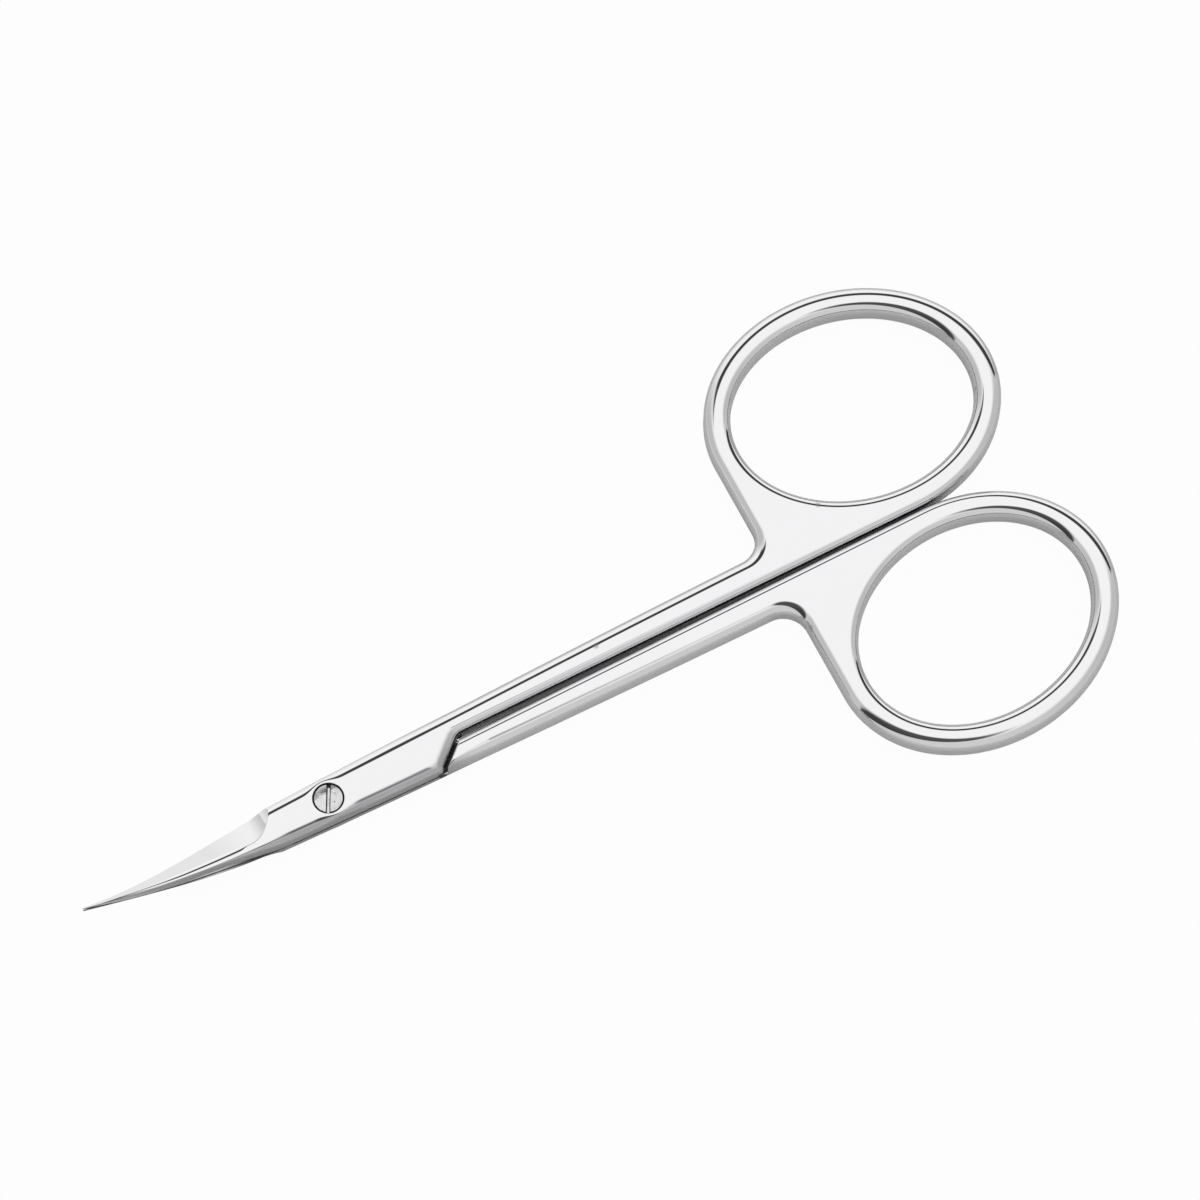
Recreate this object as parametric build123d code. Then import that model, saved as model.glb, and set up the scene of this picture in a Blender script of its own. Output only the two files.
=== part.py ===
from build123d import *
import os
from math import cos, pi, radians, sin, sqrt, tan

# Cuticle scissors with curved blades, closed and lying flat. Millimetres. The origin is on the
# pivot axis, at the plane that the scissors rest on. +X runs to the finger rings, +Y to the
# ring of the upper half, +Z up out of the plane that the scissors open in.

# Forged blank
thickness = 2.8  # of the shanks and rings
plate_front = 5.0  # from the pivot to the front of the flat plate, where the blade starts
plate_front_width = 3.52
plate_rear = 12.0  # from the pivot to where the plate's width is measured again
plate_rear_width = 4.47
web_width = 5.42  # over both shanks where they meet the webs
edge_round = 0.56  # on the edges of plate, shanks, webs and rings

# Finger rings
hole_length = 20.96
hole_width = 16.62
ring_band = 2.28
ring_tilt = -9.7  # degrees, rear end towards the middle line
ring_centre = 54.7  # from the pivot, along X
ring_gap = 0.16  # between the closed rings
shank_taper = 0.16  # degrees that the gap between the shanks opens towards the pivot
web_corner = 2.2  # radius between shank and web

# Lap of the two halves at the pivot
lap_gap = 0.04  # running gap between the plates and between the blades
shoulder_reach = 9.3  # from the pivot to the shoulder's outer end
shoulder_angle = 42.0  # degrees from X
shoulder_gap = 0.24
shoulder_corner = 0.8  # radius where the shoulder runs into the shank

# Curved blades
tip_reach = 22.1  # from the pivot, along X
bend_reach = 7.5  # from the pivot to where the blades start to curve up
tip_rise = 4.0  # of the cutting face at the tip, above the lap
tip_width = 0.10
tip_thickness = 0.15
root_step = 0.03  # that the ground blade is narrower than the plate, each side
edge_land = 0.08  # thickness left at the cutting edge
back_flatness = 0.13  # that the blade's back runs straighter than its edge
tip_lean = 0.15  # of the lower blade towards its cutting edge, at the tip
ridge_offset = 0.25  # of the bevel's ridge from the middle line, on the back's side
ridge_share = 0.3  # of the blade's half width that is added to it
grind_back = 2.35  # from the plate's front to where the bevel is full
grind_radius = 3.8  # of the wheel that leaves the crescent
stations = 9  # sections along a blade

# Pivot screw
pivot_diameter = 1.7
pivot_clearance = 0.02  # radial, in the upper half
head_diameter = 2.5
head_height = 0.62
head_clearance = 0.065  # radial, in the counterbore
head_seat = 0.02  # gap under the head
head_recess = 0.04  # below the plate's face
head_bevel = 0.08
slot_width = 0.37
slot_depth = 0.28
slot_angle = 62.0  # degrees from X
thread_diameter = 1.4
rivet_diameter = 1.9  # of the end that is spread into its countersink
rivet_height = 0.3
rivet_recess = 0.04

middle = thickness / 2
blade_length = tip_reach - plate_front
ring_length = hole_length / 2 + ring_band  # semi-axes of the ring's outside
ring_width = hole_width / 2 + ring_band
beyond = thickness  # that a cutting shape reaches past what it cuts
root_half_width = plate_front_width / 2 - root_step


def ring_support(normal):
    """The vector from the ring's centre to the outside point whose outward normal this is."""
    along = Vector(1, 0).rotate(Axis.Z, ring_tilt)
    across = Vector(0, 1).rotate(Axis.Z, ring_tilt)
    n_along = normal.dot(along)
    n_across = normal.dot(across)
    support = sqrt((ring_length * n_along) ** 2 + (ring_width * n_across) ** 2)
    return (along * (ring_length**2 * n_along) + across * (ring_width**2 * n_across)) / support


centre = Vector(ring_centre, ring_gap / 2 - ring_support(Vector(0, -1)).Y)
inner_touch = centre + ring_support(Vector(0, -1).rotate(Axis.Z, -shank_taper))
front_touch = centre + ring_support(Vector(-1, 0))


def gap_edge(x):
    """Half the gap between the shanks, at x."""
    return inner_touch.Y + (inner_touch.X - x) * tan(radians(shank_taper))


def spindle():
    """The plan of both shanks and the plate as one shape, before they are parted."""
    front = Vector(-plate_front, plate_front_width / 2)
    rear = Vector(front_touch.X + ring_band / 2, web_width / 2)
    side = ThreePointArc(front, (plate_rear, plate_rear_width / 2), rear)
    nose = Line((front.X, -front.Y), front)
    tail = Line(rear, (rear.X, -rear.Y))
    return make_face(side + tail + mirror(side, about=Plane.XZ) + nose)


def web():
    """The flat of steel that joins the shank to the ring, up to the ring's two tangents."""
    corner = Vector(front_touch.X, gap_edge(front_touch.X))
    return make_face(Polyline(corner, inner_touch, centre, front_touch, close=True))


def behind_shoulder(side, gap):
    """All that lies behind the shoulder line, which slants back from the outside of one side."""
    start = Vector(shoulder_reach + gap / sin(radians(shoulder_angle)), -side * plate_rear_width / 2)
    run = Vector(1, 0).rotate(Axis.Z, side * shoulder_angle)
    low = start - run * beyond
    high = start + run * (plate_rear_width + beyond)
    far = ring_centre
    return make_face(Polyline(low, high, (far, high.Y), (far, low.Y), close=True))


def far_side():
    """All of the other half's side of the gap between the shanks."""
    far = ring_centre
    corners = [(-far, gap_edge(-far)), (far, gap_edge(far)), (far, -far), (-far, -far)]
    return make_face(Polyline(*corners, close=True))


def half_plan(outer_layer):
    """One half seen from its own side, ring at +Y. Its outer layer has the plate, its inner has not."""
    ring_place = Pos(*centre) * Rot(0, 0, ring_tilt)
    if outer_layer:
        shank = spindle() - (behind_shoulder(1, 0) & far_side())
    else:
        shank = (spindle() & behind_shoulder(-1, shoulder_gap)) - far_side()
    plan = shank + web() + ring_place * Ellipse(ring_length, ring_width)
    web_foot = plan.vertices().sort_by_distance((front_touch.X, web_width / 2))[0]
    plan = fillet(web_foot, web_corner)
    if outer_layer:
        run_back = (plate_rear_width / 2 + gap_edge(shoulder_reach)) / tan(radians(shoulder_angle))
        inner_end = (shoulder_reach + run_back, gap_edge(shoulder_reach + run_back))
        plan = fillet(plan.vertices().sort_by_distance(inner_end)[0], shoulder_corner)
    return plan - ring_place * Ellipse(hole_length / 2, hole_width / 2)


def forged_half():
    """Plate, shank, web and ring of the upper half, with rounded edges."""
    split = middle + lap_gap / 2
    outer = Pos(0, 0, split) * extrude(half_plan(True), thickness - split)
    half = outer + extrude(half_plan(False), split)
    top = half.faces().sort_by(Axis.Z)[-1].edges()
    nose = top.sort_by(Axis.X)[0]
    half = fillet([edge for edge in top if edge != nose], edge_round)
    foot = half.faces().sort_by(Axis.Z)[0].edges()
    return fillet(foot, edge_round)


def arc_height(rise, x):
    """The height at x before the pivot of an arc, level at the bend, that rises so much at the tip."""
    bend_length = tip_reach - bend_reach
    radius = (bend_length**2 + rise**2) / (2 * rise)
    return radius - sqrt(radius**2 - max(0.0, x - bend_reach) ** 2)


def lap_block(side):
    """All that lies on the other half's side of the lap, a surface turned about the pivot axis."""
    level = middle + side * lap_gap / 2
    reach = tip_reach + beyond
    half_way = (bend_reach + reach) / 2
    knee = Vector(bend_reach, 0, level)
    bend = Vector(half_way, 0, level + arc_height(tip_rise, half_way))
    end = Vector(reach, 0, level + arc_height(tip_rise, reach))
    far = middle - side * reach
    lap = Line((0, 0, level), knee) + ThreePointArc(knee, bend, end)
    rest = Polyline(end, (reach, 0, far), (0, 0, far), (0, 0, level))
    return revolve(make_face(lap + rest), Axis.Z, 360)


def along_blade(x):
    """How far along the blade x is, from 0 at its root to 1 at its tip."""
    return min(1.0, (x - plate_front) / blade_length)


def lean(side, x):
    """How far a blade has moved towards its cutting edge at x: only the lower blade leans."""
    return 0 if side > 0 else tip_lean * along_blade(x)


def half_width(x):
    """From a blade's middle to its cutting edge: half a straight taper and half a cosine."""
    u = along_blade(x)
    swell = (1 - u + cos(pi * u / 2) ** 2) / 2
    return tip_width / 2 + (root_half_width - tip_width / 2) * swell


def back_width(x):
    """From a blade's middle to its back, which runs straighter than the edge."""
    return half_width(x) - back_flatness * sin(2 * pi * along_blade(x))


def back_height(side, x):
    """The height of a blade's back: above the lap on the upper blade, under it on the lower."""
    root_level = side * middle
    return middle + root_level + arc_height(tip_rise + side * tip_thickness - root_level, x)


def blade_section(side, x):
    """A section of the blade before it is ground, reaching through the lap, its outer corners round."""
    edge = lean(side, x) + half_width(x)
    back = lean(side, x) - back_width(x)
    inside = middle + arc_height(tip_rise, x) - side * middle / 2
    depth = side * (back_height(side, x) - inside)
    face = make_face(Polyline((back, 0), (edge, 0), (edge, depth), (back, depth), close=True))
    outer_corners = face.vertices().sort_by(Axis.Y)[-2:]
    face = fillet(outer_corners, edge_round * (edge - back) / plate_front_width)
    return Plane((-x, 0, inside), x_dir=(0, side, 0), z_dir=(1, 0, 0)) * face


def bevel_line(side, x):
    """The ends of the bevel at x: its cutting edge and its ridge."""
    edge_y = lean(side, x) + half_width(x)
    ridge_y = lean(side, x) - ridge_offset - ridge_share * half_width(x)
    edge = Vector(-x, side * edge_y, middle + arc_height(tip_rise, x) + side * edge_land)
    ridge = Vector(-x, side * ridge_y, back_height(side, x))
    return edge, ridge


def grind_section(side, x):
    """A section of the steel that the bevel takes off."""
    edge, ridge = bevel_line(side, x)
    slope = (edge - ridge).normalized()
    low = edge + slope * beyond
    high = ridge - slope * beyond
    peak = Vector(-x, low.Y, high.Z + side * beyond)
    return make_face(Polyline(low, high, peak, close=True))


def grind_wheel(side):
    """The wheel where it leaves the blade, tangent to the bevel's full end."""
    edge, ridge = bevel_line(side, plate_front + grind_back)
    slope = (edge - ridge).normalized()
    hub = (edge + ridge) / 2 + Vector(1, 0, 0).cross(slope) * grind_radius
    return Plane(hub, z_dir=slope) * Cylinder(grind_radius, 2 * plate_front_width)


def half(side):
    """One half without its hole: the upper for side 1, the lower for side -1."""
    body = forged_half()
    if side < 0:
        body = Pos(0, 0, middle) * Rot(180, 0, 0) * Pos(0, 0, -middle) * body
    step = blade_length / (stations - 1)
    blade = loft([blade_section(side, plate_front + n * step) for n in range(stations)])
    blade = blade - lap_block(side)
    bevel_start = plate_front + grind_back
    bevel_step = (tip_reach + beyond - bevel_start) / (stations - 1)
    grind = loft([grind_section(side, bevel_start + n * bevel_step) for n in range(stations)])
    return body + blade - grind - grind_wheel(side)


def upper_half():
    """The half with the plate on top, bored for the screw's bearing and counterbored for its head."""
    bore = Cylinder(pivot_diameter / 2 + pivot_clearance, 2 * thickness)
    seat = thickness - head_recess - head_height - head_seat
    counterbore = Pos(0, 0, seat + thickness) * Cylinder(head_diameter / 2 + head_clearance, 2 * thickness)
    return half(1) - (bore + counterbore)


def rivet_end():
    """The spread end of the screw, which fills its countersink."""
    cone = Cone(rivet_diameter / 2, thread_diameter / 2, rivet_height)
    return Pos(0, 0, rivet_recess + rivet_height / 2) * cone


def lower_half():
    """The half with the plate below, threaded for the screw and countersunk for its spread end."""
    bore = Cylinder(thread_diameter / 2, 2 * thickness)
    mouth = Pos(0, 0, rivet_recess / 2) * Cylinder(rivet_diameter / 2, rivet_recess)
    return half(-1) - bore - rivet_end() - mouth


def pivot_screw():
    """Slotted screw: head in the counterbore, bearing in the upper half, thread in the lower."""
    top = thickness - head_recess
    seat = top - head_height
    land = middle - lap_gap / 2
    thread_foot = rivet_recess + rivet_height
    head = Pos(0, 0, (top + seat) / 2) * Cylinder(head_diameter / 2, head_height)
    head = chamfer(head.edges().sort_by(Axis.Z)[-1], head_bevel)
    bearing = Pos(0, 0, (seat + land) / 2) * Cylinder(pivot_diameter / 2, seat - land)
    thread = Pos(0, 0, (land + thread_foot) / 2) * Cylinder(thread_diameter / 2, land - thread_foot)
    slot = Pos(0, 0, top) * Rot(0, 0, slot_angle) * Box(2 * head_diameter, slot_width, 2 * slot_depth)
    return head + bearing + thread + rivet_end() - slot


os.makedirs("parts", exist_ok=True)
export_step(upper_half(), "parts/upper_half.step")
export_step(lower_half(), "parts/lower_half.step")
export_step(pivot_screw(), "parts/pivot_screw.step")
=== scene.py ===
# %% [markdown]
# # Cuticle scissors with curved blades
# Two forged and polished steel halves turn on a slotted screw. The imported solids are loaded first.
# They carry the motion and the true sizes, and everything made here is laid over them, in the same
# frame: +X runs from the screw to the finger rings, +Z up, and the scissors lie closed on z = 0.

# %% Load the frame
from math import asin, atan2, cos, exp, hypot, pi, radians, sin, sqrt, tan

import bpy
import numpy as np
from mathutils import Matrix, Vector
from mathutils.geometry import tessellate_polygon


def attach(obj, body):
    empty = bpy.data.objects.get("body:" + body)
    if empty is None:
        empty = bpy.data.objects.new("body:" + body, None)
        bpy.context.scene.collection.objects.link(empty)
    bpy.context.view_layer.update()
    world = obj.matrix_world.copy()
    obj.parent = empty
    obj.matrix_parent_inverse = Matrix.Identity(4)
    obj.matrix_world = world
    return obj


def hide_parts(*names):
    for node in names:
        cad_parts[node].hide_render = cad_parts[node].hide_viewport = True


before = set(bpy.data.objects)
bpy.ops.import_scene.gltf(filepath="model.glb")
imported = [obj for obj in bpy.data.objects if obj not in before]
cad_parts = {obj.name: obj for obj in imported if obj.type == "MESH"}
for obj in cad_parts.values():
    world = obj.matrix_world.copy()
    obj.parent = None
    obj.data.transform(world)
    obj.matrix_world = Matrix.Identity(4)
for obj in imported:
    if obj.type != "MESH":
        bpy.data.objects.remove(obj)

for leftover in ("Cube", "Light", "Camera"):
    if leftover in bpy.data.objects:
        bpy.data.objects.remove(bpy.data.objects[leftover])
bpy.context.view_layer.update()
mm = 0.001

# %% [markdown]
# ## Camera
# Small polished things are photographed from far away with a long lens, so that near and far parts
# keep nearly the same scale. The camera looks down at the shanks from about 70 degrees. Its place
# is given as a target, two angles and a distance, which is easier to read than three coordinates.

# %% Make the camera
target = Vector((27.943, 5.422, 1.4)) * mm
azimuth = radians(-27.512)
elevation = radians(70.536)
distance = 449.2 * mm
back = Vector((sin(azimuth) * cos(elevation), -cos(azimuth) * cos(elevation), sin(elevation)))
camera = bpy.data.objects.new("camera", bpy.data.cameras.new("camera"))
bpy.context.scene.collection.objects.link(camera)
camera.location = target + back * distance
camera.rotation_mode = "QUATERNION"
camera.rotation_quaternion = (-back).to_track_quat("-Z", "Y")
camera.data.sensor_width = 36
camera.data.lens = 161.7
camera.data.clip_start = distance / 50
camera.data.clip_end = distance * 50
bpy.context.scene.camera = camera
print("camera at", [round(c / mm) for c in camera.location], "mm")

# %% [markdown]
# ## Sizes of a half
# Both halves are one shape: turned half a turn about the X axis, the upper one becomes the lower
# one. So one half is drawn lying on its inner face, in millimetres, with its ring at +Y, and its
# plate, the outer layer that carries the screw, on top. The sizes are those of the solids.

# %% Name the sizes in millimetres
thickness = 2.8
middle = thickness / 2
half_gap = 0.02
lap = middle + half_gap
plate_front = 5.0
join = 4.0
hole_half = (10.48, 8.31)
ring_half = (12.76, 10.59)
ring_tilt = radians(-9.7)
ring_gap = 0.16
shank_taper = radians(0.16)
shoulder_angle = radians(42)
shoulder_start = np.array([9.3, -2.235])
nose_start = np.array([9.659, 2.235])
web_offset = 1.14


def ring_point(half_axes, facing):
    """Where an ellipse of the ring faces this way, from the ring's centre."""
    length, width = half_axes
    along, across = cos(facing - ring_tilt), sin(facing - ring_tilt)
    support = hypot(length * along, width * across)
    x, y = length**2 * along / support, width**2 * across / support
    return np.array([x * cos(ring_tilt) - y * sin(ring_tilt), x * sin(ring_tilt) + y * cos(ring_tilt)])


gap_facing = -pi / 2 - shank_taper
ring_centre = np.array([54.7, ring_gap / 2 - ring_point(ring_half, -pi / 2)[1]])
gap_touch = ring_centre + ring_point(ring_half, gap_facing)
web_touch = ring_centre + ring_point(ring_half, pi)
print("ring centre", ring_centre.round(2), "touches", gap_touch.round(2), web_touch.round(2))

# %% [markdown]
# ## Plan of a half
# Seen from above, a half is bounded by shallow arcs, straight lines and a piece of the ring's
# ellipse, with a small arc at each corner. Each edge is written as a rule that says how deep a
# point lies inside it and which way is in. A corner of any radius, on the outline or on a line
# inset from it, is then found by looking for the one point that lies as deep in both edges.

# %% Write the edges as depth rules
def arc_through(a, b, c):
    """Centre and radius of the circle through three points."""
    rows = np.array([b - a, c - a])
    centre = np.linalg.solve(2 * rows, [b @ b - a @ a, c @ c - a @ a])
    return centre, np.hypot(*(a - centre))


plate_mark = np.array([-plate_front, 1.76])
shank_mark = np.array([12.0, 2.235])
foot_mark = np.array([web_touch[0] + web_offset, 2.71])
side_centre, side_radius = arc_through(plate_mark, shank_mark, foot_mark)


def side_edge(sign):
    """The long arc that bounds shank and plate, at +Y or at -Y."""
    centre = side_centre * (1, sign)

    def depth(point):
        out = point - centre
        reach = np.hypot(*out)
        return side_radius - reach, -out / reach

    return depth


def straight_edge(start, heading):
    """A straight edge that has the steel on its left."""
    way_in = np.array([-sin(heading), cos(heading)])
    return lambda point: ((point - start) @ way_in, way_in)


def side_y(x):
    """Half the width of the plate and both shanks at x."""
    return side_centre[1] + sqrt(side_radius**2 - (x - side_centre[0]) ** 2)


upper_side = side_edge(1)
lower_side = side_edge(-1)
shoulder_edge = straight_edge(shoulder_start, shoulder_angle)
nose_edge = straight_edge(nose_start, -shoulder_angle)
gap_edge = straight_edge(gap_touch, -shank_taper)
web_edge = straight_edge(web_touch, -pi / 2)
print("side arc radius", round(float(side_radius)), "mm, half width at the screw", round(side_y(0), 3))

# %% [markdown]
# An outline is then a chain of corners and of the stretches between them. The search for a corner
# starts near the place where it must lie, and a few rounds of Newton's method bring it home. Two of
# the corners are drawn at once, because the places where they end are needed further on.

# %% Draw a corner
search_rounds = 12
corner_points = 9
near_shoulder, near_root = (9.3, -2.1), (12.0, 0.2)
near_nose, near_heel = (10.2, 2.0), (11.9, 0.3)
near_foot = (web_touch[0], 2.7)


def corner(edge_a, edge_b, near, insets, radius, bend, count=corner_points):
    """The arc between two inset edges. bend is 1 at an outer corner and -1 at an inner one."""
    centre = np.array(near, float)
    deep = np.array(insets) + bend * radius
    for _ in range(search_rounds):
        (depth_a, in_a), (depth_b, in_b) = edge_a(centre), edge_b(centre)
        centre = centre + np.linalg.solve([in_a, in_b], deep - (depth_a, depth_b))
    start = atan2(*(-bend * edge_a(centre)[1])[::-1])
    end = atan2(*(-bend * edge_b(centre)[1])[::-1])
    sweep = (end - start + pi) % (2 * pi) - pi
    angles = start + sweep * np.linspace(0, 1, count)
    return centre + radius * np.stack([np.cos(angles), np.sin(angles)], 1)


shoulder_corner, root_corner, web_corner = 0.15, 0.8, 2.2
nose_corner, heel_corner = 0.1, 0.15
nose_x = corner(upper_side, nose_edge, near_nose, (0, 0), nose_corner, 1)[0][0]
root_x = corner(shoulder_edge, gap_edge, near_root, (0, 0), root_corner, -1)[-1][0]
print("the slanted front starts at", round(float(nose_x), 2), "and the gap at", round(float(root_x), 2))

# %% Draw the stretches between corners
def stretch(start, end, count, sign=0):
    """Points from start to end, straight, or along the side arc at sign."""
    part = np.linspace(0, 1, count)[:, None]
    if not sign:
        return start + (end - start) * part
    centre = side_centre * (1, sign)
    out_a, out_b = start - centre, end - centre
    angle_a, angle_b = atan2(out_a[1], out_a[0]), atan2(out_b[1], out_b[0])
    angle = angle_a + (angle_b - angle_a) * part[:, 0]
    reach = np.hypot(*out_a) + (np.hypot(*out_b) - np.hypot(*out_a)) * part[:, 0]
    return centre + np.stack([reach * np.cos(angle), reach * np.sin(angle)], 1)


def on_side(x, sign, inset):
    """The point at x on the side arc at sign, inset from the edge."""
    rise = sqrt((side_radius - inset) ** 2 - (x - side_centre[0]) ** 2)
    return np.array([x, sign * (side_centre[1] + rise)])


def on_gap(x, inset):
    """The point at x on the edge along the gap between the shanks, inset from it."""
    way_in = gap_edge(gap_touch)[1]
    back_to = gap_touch[1] + (gap_touch[0] - x) * tan(shank_taper)
    return np.array([x, back_to]) + inset * way_in


def chain(*runs):
    """Runs of points as one, with the points where they join taken once."""
    return np.concatenate([runs[0]] + [run[1:] for run in runs[1:]])


print("the gap between the shanks is", round(2 * float(on_gap(root_x, 0)[1]), 2), "mm wide at its root")

# %% [markdown]
# The steel's edges are rounded, so each outline is drawn twice with the same number of points: the
# wall's line, and the line where the flat begins. The second has softer corners, as polishing
# leaves them, and its inset is wide along the outside and narrow along the gap. Beside the screw
# the flat runs out nearly to the wall, because the screw's seat is almost as wide as the plate.

# %% Say how wide and how deep the rounding is
side_round, gap_round, hole_round, web_round = 1.0, 0.7, 0.85, 0.9
plate_round, shoulder_round, tip_round, nose_round = 0.9, 1.15, 0.5, 0.25
round_depth, plate_depth = 0.95, 0.7
plate_width_until, shank_width_from = -1.0, 8.0
plate_depth_until, shank_depth_from = 6.0, 14.0
screw_bulge = 0.44
bulge_reach = 1.9


def ease(part):
    """A smooth rise from 0 to 1."""
    part = np.clip(part, 0, 1)
    return part * part * (3 - 2 * part)


def side_inset(x):
    """How wide the rounding is along the outside, from the plate to the shank."""
    beside_screw = screw_bulge * (1 + np.cos(pi * np.clip(x / bulge_reach, -1, 1))) / 2
    along = ease((x - plate_width_until) / (shank_width_from - plate_width_until))
    return plate_round + (side_round - plate_round) * along - beside_screw


def depth_at(line):
    """How deep the rounding is at each point of a line, less on the plate than on the shank."""
    along = ease((line[:, :1] - plate_depth_until) / (shank_depth_from - plate_depth_until))
    return plate_depth + (round_depth - plate_depth) * along


print("rounding beside the screw", round(float(side_inset(0)), 2), "mm wide, on the shank", side_round)

# %% Draw the run that both layers share
common_x = 14.0
ring_points, gap_points, shank_points, foot_points, short_points = 220, 90, 70, 17, 12
gap_blend, web_blend = 1.2, 0.6


def ring_run(flat):
    """The ring's outside from the gap round to the web."""
    angles = np.linspace(gap_facing, pi, ring_points)
    facing = np.stack([np.cos(angles), np.sin(angles)], 1)
    inset = gap_round + (side_round - gap_round) * ease((angles - gap_facing) / gap_blend)
    inset += (web_round - side_round) * ease((angles - pi + web_blend) / web_blend)
    outside = ring_centre + np.array([ring_point(ring_half, a) for a in angles])
    return outside - flat * inset[:, None] * facing


def web_and_shank(flat, web_radius):
    """From the gap past the ring and the web's foot to the common point on the shank."""
    around = ring_run(flat)
    insets = flat * np.array([web_round, side_round])
    foot = corner(web_edge, upper_side, near_foot, insets, web_radius, -1, foot_points)
    return chain(
        stretch(on_gap(common_x, flat * gap_round), around[0], gap_points),
        around,
        stretch(around[-1], foot[0], short_points),
        foot,
        stretch(foot[-1], on_side(common_x, 1, flat * side_round), shank_points, 1),
    )


print(len(web_and_shank(0, web_corner)), "points round ring, web and shank")

# %% Draw the plate's side and the inner layer's nose
plate_points, end_points, step_points = 56, 6, 4
past_heel = 0.02


def flat_y(x):
    """Where the flat ends on the plate at x."""
    return on_side(x, 1, side_round)[1] + side_round - side_inset(x)


def along_plate(points, flat):
    """The flat's line moved out where the rounding is narrower."""
    out = flat * (side_round - side_inset(points[:, 0])) * np.sign(points[:, 1])
    return points + np.stack([np.zeros(len(out)), out], 1)


def plate_side(flat, shoulder_radius, root_radius):
    """From the blade along the plate and round the shoulder to the gap."""
    insets = flat * np.array([side_round, shoulder_round, gap_round])
    outer = corner(lower_side, shoulder_edge, near_shoulder, insets[:2], shoulder_radius, 1)
    inner = corner(shoulder_edge, gap_edge, near_root, insets[1:], root_radius, -1)
    return chain(
        along_plate(stretch(on_side(-join, -1, insets[0]), outer[0], plate_points, -1), flat),
        outer,
        stretch(outer[-1], inner[0], short_points),
        inner,
        stretch(inner[-1], on_gap(common_x, insets[2]), end_points),
    )


def nose_side(flat, nose_radius, heel_radius):
    """From the common point on the shank round the inner layer's slanted front to the gap."""
    insets = flat * np.array([tip_round, nose_round, gap_round])
    tip = corner(upper_side, nose_edge, near_nose, insets[:2], nose_radius, 1)
    heel = corner(nose_edge, gap_edge, near_heel, insets[1:], heel_radius, 1)
    step = on_gap(max(root_x, heel[-1][0] + past_heel), insets[2])
    return chain(
        stretch(on_side(common_x, 1, flat * side_round), tip[0], short_points, 1),
        tip,
        stretch(tip[-1], heel[0], short_points),
        heel,
        stretch(heel[-1], step, step_points),
        stretch(step, on_gap(common_x, insets[2]), end_points),
    )


plate_run = plate_side(0, shoulder_corner, root_corner)
nose_run = nose_side(0, nose_corner, heel_corner)
print(len(plate_run), "points along the plate and", len(nose_run), "round the nose")

# %% Join the runs into layers
front_points = 52


def outer_layer(flat, corners):
    """The plate's layer, open at the front, where the blade joins it."""
    shoulder_radius, root_radius, web_radius = corners
    inset = flat * side_round
    front = stretch(on_side(nose_x, 1, inset), on_side(-join, 1, inset), front_points, 1)
    return chain(
        plate_side(flat, shoulder_radius, root_radius),
        web_and_shank(flat, web_radius),
        stretch(on_side(common_x, 1, inset), on_side(nose_x, 1, inset), short_points, 1),
        along_plate(front, flat),
    )


def inner_layer(flat, corners):
    """The layer beside the other half's plate, a closed line."""
    nose_radius, heel_radius, web_radius = corners
    return chain(nose_side(flat, nose_radius, heel_radius), web_and_shank(flat, web_radius))


shoulder_flat_corner, root_flat_corner, web_flat_corner = 2.0, 1.4, 2.8
nose_flat_corner, heel_flat_corner = 0.12, 0.3
outer_wall = outer_layer(0, (shoulder_corner, root_corner, web_corner))
outer_flat = outer_layer(1, (shoulder_flat_corner, root_flat_corner, web_flat_corner))
inner_wall = inner_layer(0, (nose_corner, heel_corner, web_corner))
inner_flat = inner_layer(1, (nose_flat_corner, heel_flat_corner, web_flat_corner))
print(len(outer_wall), "points on the outer layer,", len(inner_wall), "on the inner")

# %% [markdown]
# ## Building the skin
# A mirror shows every small fault in a surface, so the mesh isn't left to guess how it curves. Each
# patch of skin is laid down with the direction that the true surface faces at each corner, and
# Blender keeps those as custom normals. Points that meet are made once, so the skin is closed.

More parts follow.
